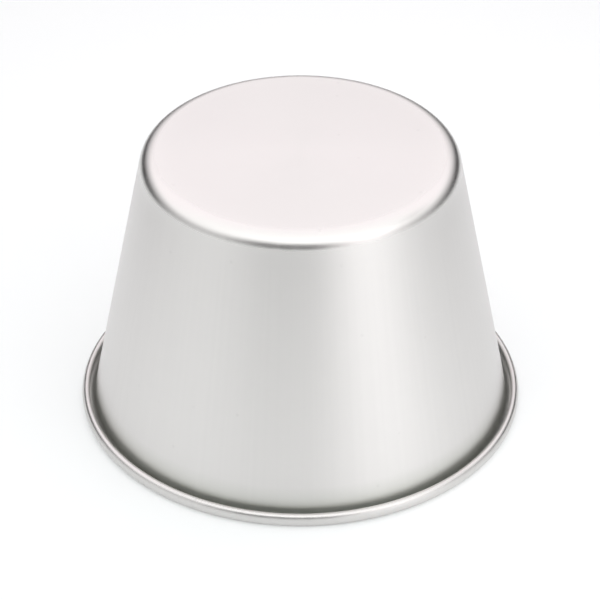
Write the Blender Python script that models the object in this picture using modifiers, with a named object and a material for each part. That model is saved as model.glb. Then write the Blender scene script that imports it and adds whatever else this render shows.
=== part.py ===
"""Pudding cup mould: a cup drawn from one round of sheet, its edge curled out over a wire.

The mould stands mouth down on its curled edge, the way it is stored and the way a set pudding
is turned out. Units are metres, +Z is up, and the origin is the middle of the mouth on the
plane that the curled edge rests on. Diameters and heights are taken over the outside of the metal.
"""
import math

import bpy

# The drawn cup
HEIGHT = 0.04865
BASE_DIAMETER = 0.0520          # the wall's cone, carried up to the plane of the base
MOUTH_DIAMETER = 0.07206        # the wall's cone, carried down to the resting plane
SHEET = 0.0004
BASE_CORNER_RADIUS = 0.0029     # outside of the bend between base and wall

# The curled edge, an open oval hook with room for its wire
FOOT_BEND_RADIUS = 0.00085      # outside of the bend between wall and curl
STANDING_WIDTH = 0.00058        # flat ring that the mould stands on, between its two bends
CURL_EXTRA_HEIGHT = 0.0007      # how much taller the curl is than it is wide
CURL_END = math.radians(125)    # from the outermost point, up and over, to the sheet's cut edge

# The wire that the edge is curled over
WIRE_DIAMETER = 0.0006
WIRE_CLEARANCE = 0.00008        # on both sides, between wire and sheet
WIRE_JOINT_GAP = 0.0006         # between the two ends of the bent wire

# How finely the round shapes are divided
TURN_STEPS = 72
CORNER_STEPS = 6
BEND_STEP = math.radians(22.5)
WIRE_BEVEL_RESOLUTION = 2

# Sizes that follow from the ones above
HALF_SHEET = SHEET / 2
MOUTH_RADIUS = MOUTH_DIAMETER / 2
WALL_LEAN = math.atan2(MOUTH_RADIUS - BASE_DIAMETER / 2, HEIGHT)
CURL_HALF_WIDTH = WIRE_DIAMETER / 2 + WIRE_CLEARANCE + SHEET
CURL_HALF_HEIGHT = CURL_HALF_WIDTH + CURL_EXTRA_HEIGHT / 2


def oval(centre_x, centre_z, half_width, half_height, start, end, steps):
    """Points along an oval in the XZ plane, from one angle to another, both ends included."""
    points = []
    for step in range(steps + 1):
        angle = start + (end - start) * step / steps
        x = centre_x + half_width * math.cos(angle)
        z = centre_z + half_height * math.sin(angle)
        points.append((x, 0.0, z))
    return points


def arc(centre_x, centre_z, radius, start, end, steps):
    """Points along a circle, which is an oval as wide as it is high."""
    return oval(centre_x, centre_z, radius, radius, start, end, steps)


def bend_steps(turn):
    """How many straight pieces a bend of this many radians is divided into."""
    return max(2, math.ceil(abs(turn) / BEND_STEP))


def tangent_x(centre_z, radius, inside):
    """X of a circle's centre at this height, where the circle touches the wall's outer face.

    The face is the line x cos(lean) + z sin(lean) = mouth radius x cos(lean). The circle lies
    on the metal's side of it when inside is true, and on the outer side otherwise.
    """
    side = -radius if inside else radius
    return MOUTH_RADIUS + (side - centre_z * math.sin(WALL_LEAN)) / math.cos(WALL_LEAN)


FOOT_Z = SHEET + FOOT_BEND_RADIUS
FOOT_X = tangent_x(FOOT_Z, FOOT_BEND_RADIUS, inside=False)
CURL_X = FOOT_X + STANDING_WIDTH


def sheet_profile():
    """The middle of the sheet, from the centre of the base out, down the wall and round the curl."""
    corner_z = HEIGHT - BASE_CORNER_RADIUS
    corner_x = tangent_x(corner_z, BASE_CORNER_RADIUS, inside=True)
    foot_turn = math.pi / 2 - WALL_LEAN
    curl_turn = math.pi / 2 + CURL_END

    points = [(0.0, 0.0, HEIGHT - HALF_SHEET)]
    points += arc(corner_x, corner_z, BASE_CORNER_RADIUS - HALF_SHEET,
                  math.pi / 2, WALL_LEAN, CORNER_STEPS)
    points += arc(FOOT_X, FOOT_Z, FOOT_BEND_RADIUS + HALF_SHEET,
                  math.pi + WALL_LEAN, math.pi + WALL_LEAN + foot_turn, bend_steps(foot_turn))
    points += oval(CURL_X, CURL_HALF_HEIGHT, CURL_HALF_WIDTH - HALF_SHEET,
                   CURL_HALF_HEIGHT - HALF_SHEET, -math.pi / 2, CURL_END, bend_steps(curl_turn))
    return points


def metal(name, colour, roughness):
    """A plain metal for one sub-part."""
    material = bpy.data.materials.new(name)
    material.use_nodes = True
    shader = material.node_tree.nodes["Principled BSDF"]
    shader.inputs["Base Color"].default_value = (*colour, 1.0)
    shader.inputs["Metallic"].default_value = 1.0
    shader.inputs["Roughness"].default_value = roughness
    material.diffuse_color = (*colour, 1.0)
    return material


def make_cup_body(collection):
    """The drawn cup: the sheet's middle surface turned about Z, then given its thickness."""
    points = sheet_profile()
    mesh = bpy.data.meshes.new("cup_body")
    mesh.from_pydata(points, [(i, i + 1) for i in range(len(points) - 1)], [])
    cup = bpy.data.objects.new("cup_body", mesh)
    collection.objects.link(cup)
    mesh.materials.append(metal("satin_aluminium", (0.74, 0.735, 0.73), 0.30))

    turn = cup.modifiers.new("turn", 'SCREW')
    turn.axis = 'Z'
    turn.angle = 2 * math.pi
    turn.steps = TURN_STEPS
    turn.render_steps = TURN_STEPS
    turn.use_merge_vertices = True
    turn.merge_threshold = 0.00001
    turn.use_smooth_shade = True

    thickness = cup.modifiers.new("thickness", 'SOLIDIFY')
    thickness.thickness = SHEET
    thickness.offset = 0.0
    thickness.use_even_offset = True
    return cup


def make_rim_wire(collection):
    """The stiffening wire: one length bent to a ring that lies in the middle of the curl."""
    half_gap = WIRE_JOINT_GAP / 2 / CURL_X
    curve = bpy.data.curves.new("rim_wire", 'CURVE')
    curve.dimensions = '3D'
    curve.bevel_depth = WIRE_DIAMETER / 2
    curve.bevel_resolution = WIRE_BEVEL_RESOLUTION
    curve.use_fill_caps = True
    spline = curve.splines.new('POLY')
    spline.points.add(TURN_STEPS)
    for step, point in enumerate(spline.points):
        angle = half_gap + (2 * math.pi - 2 * half_gap) * step / TURN_STEPS
        point.co = (CURL_X * math.cos(angle), CURL_X * math.sin(angle), CURL_HALF_HEIGHT, 1.0)
    wire = bpy.data.objects.new("rim_wire", curve)
    collection.objects.link(wire)
    curve.materials.append(metal("galvanised_wire", (0.55, 0.56, 0.57), 0.45))
    return wire


for old in list(bpy.data.objects):
    bpy.data.objects.remove(old, do_unlink=True)

mould = bpy.data.collections.new("pudding_cup_mould")
bpy.context.scene.collection.children.link(mould)
make_cup_body(mould)
make_rim_wire(mould)
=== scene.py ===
"""Pudding cup mould in satin aluminium, mouth down on a white table in a small light tent.

Everything is in metres, +Z up, with the origin in the middle of the mouth on the table.
Surfaces are worked out with numpy as whole arrays, piece by piece, with the sizes of the CAD.
"""
import math

import bpy
import numpy as np
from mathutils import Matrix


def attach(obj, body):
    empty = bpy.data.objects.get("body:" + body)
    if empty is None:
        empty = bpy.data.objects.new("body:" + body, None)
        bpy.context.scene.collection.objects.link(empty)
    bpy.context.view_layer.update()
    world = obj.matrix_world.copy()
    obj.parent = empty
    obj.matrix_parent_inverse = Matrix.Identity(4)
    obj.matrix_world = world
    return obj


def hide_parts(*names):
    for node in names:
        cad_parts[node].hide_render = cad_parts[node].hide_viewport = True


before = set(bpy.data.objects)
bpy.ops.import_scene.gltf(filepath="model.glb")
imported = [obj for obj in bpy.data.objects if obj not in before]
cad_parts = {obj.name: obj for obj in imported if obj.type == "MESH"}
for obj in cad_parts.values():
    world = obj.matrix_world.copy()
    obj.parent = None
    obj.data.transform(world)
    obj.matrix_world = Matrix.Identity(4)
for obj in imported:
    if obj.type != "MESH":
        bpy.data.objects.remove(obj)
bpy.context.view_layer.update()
scene = bpy.context.scene

# The drawn cup
# One round of aluminium sheet, pressed to a flat base, a rounded corner and a tapered wall.
# Its edge is bent out at the foot and curled up and over into an open hook, and it is satin finished.

RIM_RADIUS = 0.0380
HEIGHT = 0.04865
MOUTH_RADIUS = 0.03603          # the wall's cone, carried down to the table
BASE_RADIUS = 0.0260            # the wall's cone, carried up to the base
SHEET = 0.0004
CORNER_RADIUS = 0.0029          # outside of the bend between base and wall
FOOT_RADIUS = 0.00085           # outside of the bend between wall and curl
CURL_HALF_WIDTH = 0.00078
CURL_HALF_HEIGHT = 0.00113
CURL_END = math.radians(125)    # from the outermost point, up and over, to the cut edge
EDGE_ROUNDING = 0.6             # how far the cut edge bulges, as a share of half the sheet

# Points on each run of the profile, and steps round the axis
BASE_POINTS = 12
CORNER_POINTS = 29
WALL_POINTS = 20
FOOT_POINTS = 17
RING_POINTS = 4
CURL_POINTS = 45
EDGE_POINTS = 9
CUP_SEGMENTS = 384

# The metal and its finish
ALUMINIUM_COLOUR = (0.753, 0.740, 0.727)
ALUMINIUM_ROUGHNESS = 0.32
RING_FINISH = 0.85              # how much the finishing rings draw out a reflection
ACROSS_THE_RINGS = 0.25         # which way, as a share of a full turn
RING_STEPS = (60.0, 2400.0)     # changes per metre: sideways, and along the profile
RING_DETAIL = {"detail": 3.0, "roughness": 0.6}
STREAK_STEPS = (34.0, 12.0)     # changes per radian round the axis, and per metre down the wall
MOTTLE_STEPS = 170.0            # changes per metre
MOTTLE_DETAIL = {"detail": 3.0}
GRAIN_STEPS = 7000.0
GRAIN_DEPTH = 0.0000002
SPECK_CELLS = 300.0             # cells per metre
BARE_CELLS = 0.72               # the share of them that hold no speck
SPECK_CORE = 0.02               # a speck is full up to here from its middle, in cells
SPECK_EDGE = 0.13               # and has faded here
TONE_SHARES = {"rings": 0.004, "streaks": 0.019, "mottle": 0.016, "specks": -0.045, "darker_curl_face": -0.08}
ROUGHNESS_SHARES = {"rings": 0.010, "streaks": 0.010, "mottle": 0.020, "specks": 0.06, "rubbed": -0.085}
HEIGHT_SHARES = {"grain": 0.6, "rings": 0.4}
SLIT_PAINTED_SHADE = (-0.17, -0.135, -0.18)  # painted shade: how much the colour is darkened down in the slit
PAINTED_SHADE_HEIGHT = 0.0045         # the painted shade reaches up to here
DARKEST_SHADE_HEIGHT = PAINTED_SHADE_HEIGHT / 3    # where the painted shade is darkest
THIN_SHADE_SHARE = 0.35               # the painted shade's share in the rest of the slit

wall_lean = math.atan2(MOUTH_RADIUS - BASE_RADIUS, HEIGHT)
curl_x = RIM_RADIUS - CURL_HALF_WIDTH


def oval(centre, half_width, half_height, start, end, count):
    """Points centre + (half_width cos a, half_height sin a) in the (r, z) plane, a from start to end."""
    a = np.linspace(start, end, count)
    r = centre[0] + half_width * np.cos(a)
    z = centre[1] + half_height * np.sin(a)
    return np.column_stack([r, z])


def straight(start, end, count):
    """Points from start to end, closer at both ends: start + (end - start)(1 - cos(pi t)) / 2."""
    share = (1 - np.cos(np.pi * np.linspace(0, 1, count))) / 2
    return np.asarray(start) + np.outer(share, np.subtract(end, start))


def beside_wall(z, reach):
    """The point at height z that lies the distance reach outside the wall's outer face."""
    return MOUTH_RADIUS + (reach - z * math.sin(wall_lean)) / math.cos(wall_lean), z


def sheet_middle():
    """The middle of the sheet as (r, z), from the axis over the base, down the wall, round the curl.

    Straight runs and arcs that share their tangents: base, corner, wall, foot, ring, oval curl.
    """
    half = SHEET / 2
    down, up = -np.pi / 2, np.pi / 2
    corner_at = beside_wall(HEIGHT - CORNER_RADIUS, -CORNER_RADIUS)
    foot_at = beside_wall(SHEET + FOOT_RADIUS, FOOT_RADIUS)
    corner_bend = CORNER_RADIUS - half
    foot_bend = FOOT_RADIUS + half
    corner = oval(corner_at, corner_bend, corner_bend, up, wall_lean, CORNER_POINTS)
    foot = oval(foot_at, foot_bend, foot_bend, np.pi + wall_lean, 1.5 * np.pi, FOOT_POINTS)
    curl = oval((curl_x, CURL_HALF_HEIGHT), CURL_HALF_WIDTH - half, CURL_HALF_HEIGHT - half,
                down, CURL_END, CURL_POINTS)
    return np.vstack([
        straight((0, HEIGHT - half), corner[0], BASE_POINTS)[:-1],
        corner,
        straight(corner[-1], foot[0], WALL_POINTS)[1:-1],
        foot,
        straight(foot[-1], curl[0], RING_POINTS)[1:-1],
        curl,
    ])


def thickened(middle, thickness):
    """The outline of a sheet: middle + n t / 2 one way, a bulged cut edge, and middle - n t / 2 back.

    n is the line's unit normal, on its left. The edge is a half oval about the last point.
    """
    along = np.gradient(middle, axis=0)
    along /= np.linalg.norm(along, axis=1)[:, None]
    normal = np.column_stack([-along[:, 1], along[:, 0]])
    reach = thickness / 2
    turn = np.linspace(0, np.pi, EDGE_POINTS)[1:-1]
    edge = middle[-1] + reach * (np.outer(np.cos(turn), normal[-1])
                                 + EDGE_ROUNDING * np.outer(np.sin(turn), along[-1]))
    return np.vstack([middle + normal * reach, edge, (middle - normal * reach)[::-1]])


def ring_quads(rings, segments):
    """Quads between neighbouring rings of a grid of points, closed round the axis."""
    j = np.arange(segments)
    after = (j + 1) % segments
    ring = segments * np.arange(rings - 1)[:, None]
    next_ring = ring + segments
    return np.stack([ring + j, next_ring + j, next_ring + after, ring + after], axis=2).reshape(-1, 4)


def closed_faces(rings, segments):
    """The quads between rings, and a fan of triangles from each end ring to a point of its own.

    The vertices are the rings one after the other, then the first ring's point and the last one's.
    """
    j = np.arange(segments)
    after = (j + 1) % segments
    end = segments * (rings - 1)
    first = np.full(segments, segments * rings)
    last = first + 1
    fans = np.vstack([np.column_stack([first, j, after]),
                      np.column_stack([last, end + after, end + j])])
    return ring_quads(rings, segments).tolist() + fans.tolist()


def turned(profile, segments):
    """A closed surface turned about Z from a profile that starts and ends on the axis.

    Vertex (i, j) is (r_i cos a_j, r_i sin a_j, z_i) with a_j = 2 pi j / segments. The first and
    last profile points are single vertices, and come last.
    """
    angle = 2 * np.pi * np.arange(segments) / segments
    ring = profile[1:-1]
    x = np.outer(ring[:, 0], np.cos(angle))
    y = np.outer(ring[:, 0], np.sin(angle))
    z = np.repeat(ring[:, 1:], segments, axis=1)
    points = np.stack([x, y, z], axis=2).reshape(-1, 3)
    poles = [[0, 0, profile[0, 1]], [0, 0, profile[-1, 1]]]
    return np.vstack([points, poles]), closed_faces(len(ring), segments)


def make_piece(name, points, faces, material):
    """A smooth mesh object at the origin, with its place in its vertices."""
    mesh = bpy.data.meshes.new(name)
    mesh.from_pydata(np.asarray(points, float).tolist(), [], faces)
    mesh.polygons.foreach_set("use_smooth", [True] * len(mesh.polygons))
    mesh.materials.append(material)
    mesh.update()
    piece = bpy.data.objects.new(name, mesh)
    scene.collection.objects.link(piece)
    return piece


def node(tree, kind, **settings):
    """A new shader node of this kind, with its settings."""
    made = tree.nodes.new("ShaderNode" + kind)
    for name, value in settings.items():
        setattr(made, name, value)
    return made


def calculate(tree, operation, first, second=None, third=None):
    """A math node's output: operation(first, second, third), where each is a number or a socket."""
    maths = node(tree, "Math", operation=operation)
    for place, value in enumerate((first, second, third)):
        if value is None:
            continue
        if hasattr(value, "default_value"):
            tree.links.new(value, maths.inputs[place])
        else:
            maths.inputs[place].default_value = value
    return maths.outputs[0]


def noise(tree, coordinates, scale, detail=2.0, roughness=0.5):
    """Noise about 0, from -1 to 1: twice the noise texture's value less one."""
    texture = node(tree, "TexNoise")
    texture.inputs["Scale"].default_value = scale
    texture.inputs["Detail"].default_value = detail
    texture.inputs["Roughness"].default_value = roughness
    tree.links.new(coordinates, texture.inputs["Vector"])
    return calculate(tree, "MULTIPLY_ADD", texture.outputs["Fac"], 2.0, -1.0)


def with_marks(tree, start, marks, shares):
    """start + the sum of share x mark, over the marks that shares names."""
    total = start
    for name, share in shares.items():
        total = calculate(tree, "MULTIPLY_ADD", marks[name], share, total)
    return total


def tinted(tree, colour, tone):
    """A colour times a socket."""
    scaled = node(tree, "VectorMath", operation="SCALE")
    scaled.inputs[0].default_value = colour
    tree.links.new(tone, scaled.inputs["Scale"])
    return scaled.outputs[0]


def add_relief(tree, height, distance):
    """Bumps the surface by a height socket times a distance."""
    bump = node(tree, "Bump")
    bump.inputs["Distance"].default_value = distance
    tree.links.new(height, bump.inputs["Height"])
    tree.links.new(bump.outputs[0], tree.nodes["Principled BSDF"].inputs["Normal"])


def satin_aluminium():
    """Satin aluminium: pale metal, finished with a cloth that ran round the axis.

    That draws its reflections out across the rings. The colour is the metal's own, times 1 plus
    small shares of rings, streaks, mottle, specks and the darker curl face, and times 1 plus the
    painted shade down in the slit. Roughness gets shares of the same. "Along" is z - r, which
    falls steadily from the middle of the base, over the corner and down the wall.
    """
    material = bpy.data.materials.new("satin_aluminium")
    material.use_nodes = True
    tree = material.node_tree
    shader = tree.nodes["Principled BSDF"]
    shader.inputs["Metallic"].default_value = 1.0
    shader.inputs["Anisotropic"].default_value = RING_FINISH
    shader.inputs["Anisotropic Rotation"].default_value = ACROSS_THE_RINGS
    tangent = node(tree, "Tangent", direction_type="RADIAL", axis="Z")
    tree.links.new(tangent.outputs[0], shader.inputs["Tangent"])

    place = node(tree, "TexCoord").outputs["Object"]
    axes = node(tree, "SeparateXYZ")
    tree.links.new(place, axes.inputs[0])
    x, y, z = axes.outputs
    y_squared = calculate(tree, "MULTIPLY", y, y)
    radius = calculate(tree, "SQRT", calculate(tree, "MULTIPLY_ADD", x, x, y_squared))
    along = calculate(tree, "SUBTRACT", z, radius)
    wide = calculate(tree, "MAXIMUM", radius, SHEET)
    cosine = calculate(tree, "DIVIDE", x, wide)
    sine = calculate(tree, "DIVIDE", y, wide)

    def coordinates(first, second, across, lengthways):
        """A vector of first and second times across, and along times lengthways."""
        joined = node(tree, "CombineXYZ")
        tree.links.new(calculate(tree, "MULTIPLY", first, across), joined.inputs[0])
        tree.links.new(calculate(tree, "MULTIPLY", second, across), joined.inputs[1])
        tree.links.new(calculate(tree, "MULTIPLY", along, lengthways), joined.inputs[2])
        return joined.outputs[0]

    def painted(name):
        """The cup's own attribute of this name."""
        return node(tree, "Attribute", attribute_name=name).outputs["Fac"]

    streaks = noise(tree, coordinates(cosine, sine, *STREAK_STEPS), 1.0)
    cells = node(tree, "TexVoronoi")
    cells.inputs["Scale"].default_value = SPECK_CELLS
    tree.links.new(place, cells.inputs["Vector"])
    chosen = node(tree, "SeparateColor")
    tree.links.new(cells.outputs["Color"], chosen.inputs[0])
    dot = node(tree, "MapRange", interpolation_type="SMOOTHSTEP")
    dot.inputs["From Min"].default_value = SPECK_CORE
    dot.inputs["From Max"].default_value = SPECK_EDGE
    dot.inputs["To Min"].default_value = 1.0
    dot.inputs["To Max"].default_value = 0.0
    tree.links.new(cells.outputs["Distance"], dot.inputs["Value"])
    holds_speck = calculate(tree, "GREATER_THAN", chosen.outputs[0], BARE_CELLS)
    marks = {
        "rings": noise(tree, coordinates(x, y, *RING_STEPS), 1.0, **RING_DETAIL),
        "streaks": calculate(tree, "MULTIPLY", streaks, painted("drawn")),
        "mottle": noise(tree, place, MOTTLE_STEPS, **MOTTLE_DETAIL),
        "grain": noise(tree, place, GRAIN_STEPS),
        "specks": calculate(tree, "MULTIPLY", dot.outputs[0], holds_speck),
        "darker_curl_face": painted("darker_curl_face"),
        "rubbed": painted("rubbed"),
    }

    clean = tinted(tree, ALUMINIUM_COLOUR, with_marks(tree, 1.0, marks, TONE_SHARES))
    # Painted shade: the colour is darkened down in the slit, where the slit attribute is 1
    shade_factor = node(tree, "VectorMath", operation="MULTIPLY_ADD")
    tree.links.new(painted("painted_slit_shade"), shade_factor.inputs[0])
    shade_factor.inputs[1].default_value = SLIT_PAINTED_SHADE
    shade_factor.inputs[2].default_value = (1, 1, 1)
    shaded_colour = node(tree, "VectorMath", operation="MULTIPLY")
    tree.links.new(clean, shaded_colour.inputs[0])
    tree.links.new(shade_factor.outputs[0], shaded_colour.inputs[1])
    tree.links.new(shaded_colour.outputs[0], shader.inputs["Base Color"])
    tree.links.new(with_marks(tree, ALUMINIUM_ROUGHNESS, marks, ROUGHNESS_SHARES),
                   shader.inputs["Roughness"])
    add_relief(tree, with_marks(tree, 0.0, marks, HEIGHT_SHARES), GRAIN_DEPTH)
    return material


def paint_profile(mesh, name, values, segments):
    """An attribute of a turned surface: every ring takes its profile point's value."""
    layer = mesh.attributes.new(name, "FLOAT", "POINT")
    rings = np.repeat(values[1:-1], segments)
    layer.data.foreach_set("value", np.append(rings, [values[0], values[-1]]))


def smooth_step(value, low, high):
    """0 below low, 1 above high, and t^2 (3 - 2t) between, with t the share of the way."""
    t = np.clip((value - low) / (high - low), 0, 1)
    return t * t * (3 - 2 * t)


middle = sheet_middle()
outline = thickened(middle, SHEET)
cup = make_piece("cup", *turned(outline, CUP_SEGMENTS), satin_aluminium())

# Where the wall was drawn, the painted shade down in the slit, where use rubs the metal,
# and the curl's outer face, which is painted darker
upper = np.arange(len(outline)) < len(middle)
r, z = outline.T
drawn = smooth_step(HEIGHT - z, CORNER_RADIUS / 2, 3 * CORNER_RADIUS)
# Painted shade down in the slit, below 4.5 mm: a share of 0.35, full a third of the way up
shade_depth = smooth_step(z, 0, DARKEST_SHADE_HEIGHT) * (1 - smooth_step(z, DARKEST_SHADE_HEIGHT, PAINTED_SHADE_HEIGHT))
painted_slit_shade = upper * (THIN_SHADE_SHARE + (1 - THIN_SHADE_SHARE) * shade_depth) * (z < PAINTED_SHADE_HEIGHT)
crest = np.exp(-((z - 2 * CURL_HALF_HEIGHT) / SHEET) ** 2) * (r > curl_x)
shoulder = np.exp(-(np.hypot(r - BASE_RADIUS, z - HEIGHT) / CORNER_RADIUS) ** 2)
# The curl's outer face, painted 8% darker
darker_curl_face = ~upper * smooth_step(r, curl_x - SHEET, curl_x)
paint_profile(cup.data, "drawn", drawn, CUP_SEGMENTS)
paint_profile(cup.data, "painted_slit_shade", painted_slit_shade, CUP_SEGMENTS)
paint_profile(cup.data, "rubbed", np.maximum(crest, shoulder), CUP_SEGMENTS)
paint_profile(cup.data, "darker_curl_face", darker_curl_face, CUP_SEGMENTS)

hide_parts("cup_body")
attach(cup, "root")

# The rim wire
# A length of thin galvanised wire, bent to a ring, that the edge is curled over to stiffen it.
# Its two ends meet at a small gap. The curl's lip hides it from the camera.

WIRE_RADIUS = 0.0003
WIRE_JOINT_GAP = 0.0006
WIRE_TURN_STEPS = 360
WIRE_SIDES = 16
WIRE_END_RINGS = 5
ZINC_COLOUR = (0.55, 0.56, 0.57)
ZINC_TONE = 0.95
ZINC_ROUGHNESS = 0.39
ZINC_CRYSTALS = 2500.0          # cells per metre
ZINC_GRAINS = 6000.0            # changes per metre
ZINC_RELIEF = 0.000002
ZINC_TONE_SHARES = {"grains": 0.04, "crystal_tone": 0.10}
ZINC_ROUGHNESS_SHARES = {"grains": 0.04, "crystal_roughness": 0.12}
wire_z = CURL_HALF_HEIGHT


def wire_surface():
    """A tube along an open ring, with domed ends.

    Ring i is centred at curl_x (cos a_i, sin a_i); its radius is the wire's, and falls as
    sqrt(1 - s^2) over the last wire radius of each end, where s runs from 0 to 1.
    """
    half_gap = WIRE_JOINT_GAP / 2 / curl_x
    end_angle = WIRE_RADIUS / curl_x
    whole = half_gap + end_angle
    share = np.sin(np.linspace(0, np.pi / 2, WIRE_END_RINGS + 1))[:-1]
    start = half_gap + end_angle * (1 - share[::-1])
    along = np.linspace(whole, 2 * np.pi - whole, WIRE_TURN_STEPS)[1:-1]
    angle = np.concatenate([start, along, 2 * np.pi - start[::-1]])
    size = np.sqrt(1 - share[::-1] ** 2)
    radius = WIRE_RADIUS * np.concatenate([size, np.ones(len(along)), size[::-1]])
    side = 2 * np.pi * np.arange(WIRE_SIDES) / WIRE_SIDES
    from_axis = curl_x + np.outer(radius, np.cos(side))
    x = from_axis * np.cos(angle)[:, None]
    y = from_axis * np.sin(angle)[:, None]
    z = wire_z + np.outer(radius, np.sin(side))
    points = np.stack([x, y, z], axis=2).reshape(-1, 3)
    tips = [[curl_x * math.cos(a), curl_x * math.sin(a), wire_z]
            for a in (half_gap, 2 * math.pi - half_gap)]
    faces = [face[:1] + face[:0:-1] for face in closed_faces(len(angle), WIRE_SIDES)]
    return np.vstack([points, tips]), faces


def galvanised_wire():
    """Zinc-coated steel: dull grey, in patches of crystals with a fine grain over them.

    The colour is zinc grey times a tone: 0.95 plus shares of each crystal's own random value and
    of a fine noise. Roughness gets the same kind of shares, and the noise raises the surface.
    """
    material = bpy.data.materials.new("galvanised_wire")
    material.use_nodes = True
    tree = material.node_tree
    shader = tree.nodes["Principled BSDF"]
    shader.inputs["Metallic"].default_value = 1.0
    place = node(tree, "TexCoord").outputs["Object"]
    crystals = node(tree, "TexVoronoi")
    crystals.inputs["Scale"].default_value = ZINC_CRYSTALS
    tree.links.new(place, crystals.inputs["Vector"])
    facet = node(tree, "SeparateColor")
    tree.links.new(crystals.outputs["Color"], facet.inputs[0])
    marks = {
        "grains": noise(tree, place, ZINC_GRAINS),
        "crystal_tone": facet.outputs[0],
        "crystal_roughness": facet.outputs[1],
    }
    tone = with_marks(tree, ZINC_TONE, marks, ZINC_TONE_SHARES)
    tree.links.new(tinted(tree, ZINC_COLOUR, tone), shader.inputs["Base Color"])
    tree.links.new(with_marks(tree, ZINC_ROUGHNESS, marks, ZINC_ROUGHNESS_SHARES),
                   shader.inputs["Roughness"])
    add_relief(tree, marks["grains"], ZINC_RELIEF)
    return material


wire = make_piece("wire", *wire_surface(), galvanised_wire())
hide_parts("rim_wire")
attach(wire, "root")

# The table, the light tent and the camera
# A white table top in a small round tent of white fabric that is lit from outside, lid and all.
# A card at the front right makes the tent brighter there, and a pool of its light is painted on the table.
# The tent is darker at the camera's opening and behind.

TENT_RADIUS = 0.30
TENT_HEIGHT = 0.23
TENT_SEGMENTS = 72
TENT_GLOW = 0.970               # the level of wall and lid together
WARM = (1.040, 0.990, 1.012)    # the tint of what is lit warmly, the card and the back

# The wall's glow by elevation in degrees
WALL_RINGS = 19
WALL_GLOW = 1.55                # at this elevation
WALL_GLOW_ELEVATION = 38
WALL_GLOW_POWER = 1.17

# Its patches: strength, then azimuth, width, elevation and height in degrees
FRONT_FOOT = (1.87, 357, 82, 2.6, 4.5)
CAMERA_OPENING = (-1.49, 354, 32, 30, 22)
DARK_BEHIND_LEFT = (-0.90, 228, 28, -8, 32)
DARK_BEHIND_RIGHT = (-0.66, 133, 30, -2, 30)
RIGHT_POLE = (-0.17, 164, 9, 34, 8)
LEFT_POLE = (-0.17, 196, 9, 34, 8)
CARD_AZIMUTH = 44
FRONT_CARD = (0.78, CARD_AZIMUTH, 25.5, 24, 31.5)
WARM_BACK = (1, 180, 75, 36, 24)

# The lid's glow, and its patches: strength, then place and size across and away from the camera
LID_RINGS = 16
LID_GLOW = 1.31
LID_FRONT = (0.59, 0, -TENT_RADIUS, 0.31, 0.18)
LID_RIGHT = (-0.59, TENT_RADIUS, 0, 0.07, 0.07)
LID_POLES = (-0.17, 0.08, 0.27, 0.045, 0.06)    # one at each side
LID_WARM_START = -0.08
LID_WARM_FULL = 0.14

# The table, and what is added to its white for the rays that see it directly
TABLE_RINGS = 30
TABLE_COLOUR = (0.735, 0.757, 0.757)
TABLE_LIFT = 0.22
TABLE_EDGE_LIFT = 0.35          # near the tent, where the table fades into the white
TABLE_EDGE_START = 0.72 * TENT_RADIUS
TABLE_PAINTED_CARD_LIGHT = 0.14          # a pool of the card's light painted on the table
TABLE_CARD_WIDTH = 26           # in degrees
TABLE_CARD_RADIUS = 0.065       # from the axis
TABLE_CARD_REACH = 0.035


def seen_directly(tree):
    """1 for camera, glossy and transmission rays, and 0 for the others."""
    path = node(tree, "LightPath")
    either = calculate(tree, "MAXIMUM", path.outputs["Is Camera Ray"], path.outputs["Is Glossy Ray"])
    return calculate(tree, "MAXIMUM", either, path.outputs["Is Transmission Ray"])


def table_white():
    """Matt white, with its own "lift" attribute added for the rays that see it directly."""
    material = bpy.data.materials.new("table_white")
    material.use_nodes = True
    tree = material.node_tree
    tree.nodes.clear()
    matt = node(tree, "BsdfDiffuse")
    matt.inputs["Color"].default_value = (*TABLE_COLOUR, 1)
    lift = node(tree, "Attribute", attribute_name="lift")
    emission = node(tree, "Emission")
    tree.links.new(calculate(tree, "MULTIPLY", seen_directly(tree), lift.outputs["Fac"]),
                   emission.inputs["Strength"])
    both = node(tree, "AddShader")
    tree.links.new(matt.outputs[0], both.inputs[0])
    tree.links.new(emission.outputs[0], both.inputs[1])
    output = node(tree, "OutputMaterial")
    tree.links.new(both.outputs[0], output.inputs["Surface"])
    return material


def lit_fabric():
    """White fabric lit from outside: it gives off what its own "glow" attribute says."""
    material = bpy.data.materials.new("lit_fabric")
    material.use_nodes = True
    tree = material.node_tree
    tree.nodes.clear()
    emission = node(tree, "Emission")
    glow = node(tree, "Attribute", attribute_name="glow")
    tree.links.new(glow.outputs["Color"], emission.inputs["Color"])
    output = node(tree, "OutputMaterial")
    tree.links.new(emission.outputs[0], output.inputs["Surface"])
    return material


def round_plate(rings, z):
    """A flat round plate as wide as the tent, facing up, with one many-sided face in its middle.

    Point (i, j) is radius_i (sin a_j, -cos a_j), with the radius in equal steps.
    """
    angle = 2 * np.pi * np.arange(TENT_SEGMENTS) / TENT_SEGMENTS
    radius = TENT_RADIUS * np.linspace(0, 1, rings + 1)[1:]
    across = np.outer(radius, np.sin(angle))
    away = -np.outer(radius, np.cos(angle))
    points = np.stack([across, away, np.full(across.shape, z)], axis=2).reshape(-1, 3)
    faces = ring_quads(rings, TENT_SEGMENTS)[:, ::-1].tolist()
    return points, faces + [list(range(TENT_SEGMENTS))]


def glow_colour(plain, warm):
    """Red, green, blue and 1 at each point: the tent's level times (plain white + warm x its tint)."""
    colour = TENT_GLOW * (plain.reshape(-1, 1) + warm.reshape(-1, 1) * np.array(WARM))
    return np.column_stack([colour, np.ones(len(colour))])


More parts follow.
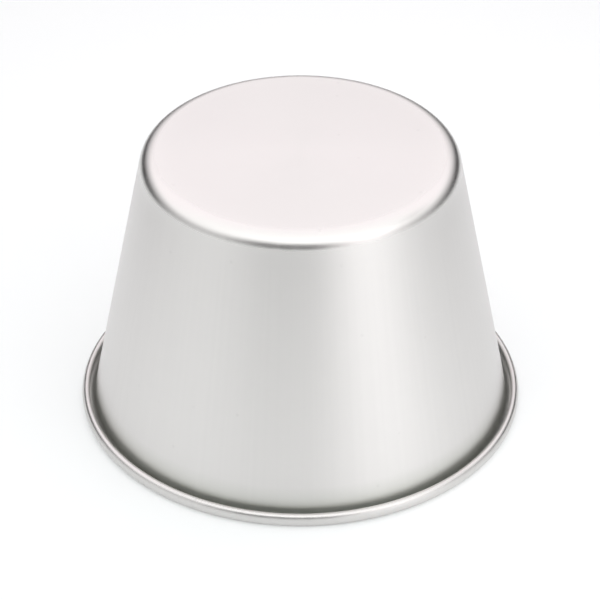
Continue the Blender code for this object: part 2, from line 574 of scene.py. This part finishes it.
def tent_wall():
    """A cylinder round the table and its glow, by azimuth and elevation in degrees.

    Azimuth runs from the camera's side to the right. The glow is 1.55 (elevation / 38)^1.17, and
    each patch adds its strength times
    exp(-(away in azimuth / width)^2 - (away in elevation / height)^2).
    """
    azimuth = 360 * np.arange(TENT_SEGMENTS) / TENT_SEGMENTS
    top = math.degrees(math.atan2(TENT_HEIGHT, TENT_RADIUS))
    around, rise = np.meshgrid(azimuth, np.linspace(0, top, WALL_RINGS))
    x = TENT_RADIUS * np.sin(np.radians(around))
    y = -TENT_RADIUS * np.cos(np.radians(around))
    z = TENT_RADIUS * np.tan(np.radians(rise))
    points = np.stack([x, y, z], axis=2).reshape(-1, 3)

    def patch(strength, centre, width, level, height):
        away = (around - centre + 180) % 360 - 180
        return strength * np.exp(-(away / width) ** 2 - ((rise - level) / height) ** 2)

    glow = WALL_GLOW * (rise / WALL_GLOW_ELEVATION) ** WALL_GLOW_POWER
    for spot in (FRONT_FOOT, CAMERA_OPENING, DARK_BEHIND_LEFT, DARK_BEHIND_RIGHT,
                 RIGHT_POLE, LEFT_POLE):
        glow += patch(*spot)
    card = patch(*FRONT_CARD)
    glow = np.clip(glow, -card, None)
    behind = glow * patch(*WARM_BACK)
    return points, ring_quads(WALL_RINGS, TENT_SEGMENTS).tolist(), glow_colour(glow - behind, card + behind)


def tent_lid():
    """A flat round lid and its glow: 1.31, plus each patch's strength times exp(-x^2 - y^2).

    x and y are the distances across and away from the patch's middle, over its sizes. The lid is
    plain white at the camera's side and turns warm towards the back.
    """
    points, faces = round_plate(LID_RINGS, TENT_HEIGHT)
    across, away = points[:, 0], points[:, 1]

    def patch(sideways, strength, x, y, width, depth):
        return strength * np.exp(-((sideways - x) / width) ** 2 - ((away - y) / depth) ** 2)

    front = patch(across, *LID_FRONT)
    even = LID_GLOW + patch(across, *LID_RIGHT) + patch(np.abs(across), *LID_POLES)
    behind = even * smooth_step(away, LID_WARM_START, LID_WARM_FULL)
    return points, [face[::-1] for face in faces], glow_colour(front + even - behind, behind)


table_points, table_faces = round_plate(TABLE_RINGS, 0.0)
table = make_piece("table", table_points, table_faces, table_white())
from_axis = np.hypot(table_points[:, 0], table_points[:, 1])
# A pool of light painted on the table at the front right, where the card would light it
from_card = np.degrees(np.arctan2(table_points[:, 0], -table_points[:, 1])) - CARD_AZIMUTH
painted_card_light = TABLE_PAINTED_CARD_LIGHT * np.exp(-(from_card / TABLE_CARD_WIDTH) ** 2
                                     - ((from_axis - TABLE_CARD_RADIUS) / TABLE_CARD_REACH) ** 2)
edge_lift = TABLE_EDGE_LIFT * smooth_step(from_axis, TABLE_EDGE_START, TENT_RADIUS)
lift_layer = table.data.attributes.new("lift", "FLOAT", "POINT")
lift_layer.data.foreach_set("value", TABLE_LIFT + edge_lift + painted_card_light)

fabric_material = lit_fabric()
for name, (points, faces, glow) in (("tent_wall", tent_wall()), ("tent_lid", tent_lid())):
    fabric = make_piece(name, points, faces, fabric_material)
    glow_layer = fabric.data.attributes.new("glow", "FLOAT_COLOR", "POINT")
    glow_layer.data.foreach_set("color", glow.reshape(-1))
    fabric.visible_camera = False
    fabric.visible_shadow = False

world = bpy.data.worlds.new("white_room")
world.use_nodes = True
scene.world = world
background = world.node_tree.nodes["Background"]
background.inputs["Color"].default_value = (1, 1, 1, 1)
world.node_tree.links.new(seen_directly(world.node_tree), background.inputs["Strength"])

PICTURE_PX = 600                # the picture's width
VIEW_LENS_PX = 2415.0           # the lens's focal length, in pixels of the picture
VIEW_SENSOR = 36.0
VIEW_NEAR = 0.01
VIEW_PITCH = math.radians(35.01)
VIEW_DISTANCE = 11.129 * RIM_RADIUS     # to the mouth's middle, measured along the line of sight
VIEW_RISE = -0.3975 * RIM_RADIUS        # how far that middle lies over the line of sight, so under it
VIEW_SIDE = -0.00007                    # and two small shifts of the camera, to the right
VIEW_LIFT = 0.00015                     # and up

camera_data = bpy.data.cameras.new("camera")
camera_data.sensor_width = VIEW_SENSOR
camera_data.lens = VIEW_LENS_PX / PICTURE_PX * VIEW_SENSOR
camera_data.clip_start = VIEW_NEAR
camera = bpy.data.objects.new("camera", camera_data)
cos_p, sin_p = math.cos(VIEW_PITCH), math.sin(VIEW_PITCH)
camera.location = (VIEW_SIDE, -VIEW_DISTANCE * cos_p - VIEW_RISE * sin_p,
                   VIEW_DISTANCE * sin_p - VIEW_RISE * cos_p + VIEW_LIFT)
camera.rotation_euler = (math.pi / 2 - VIEW_PITCH, 0, 0)
scene.collection.objects.link(camera)
scene.camera = camera
scene.view_settings.view_transform = "Standard"
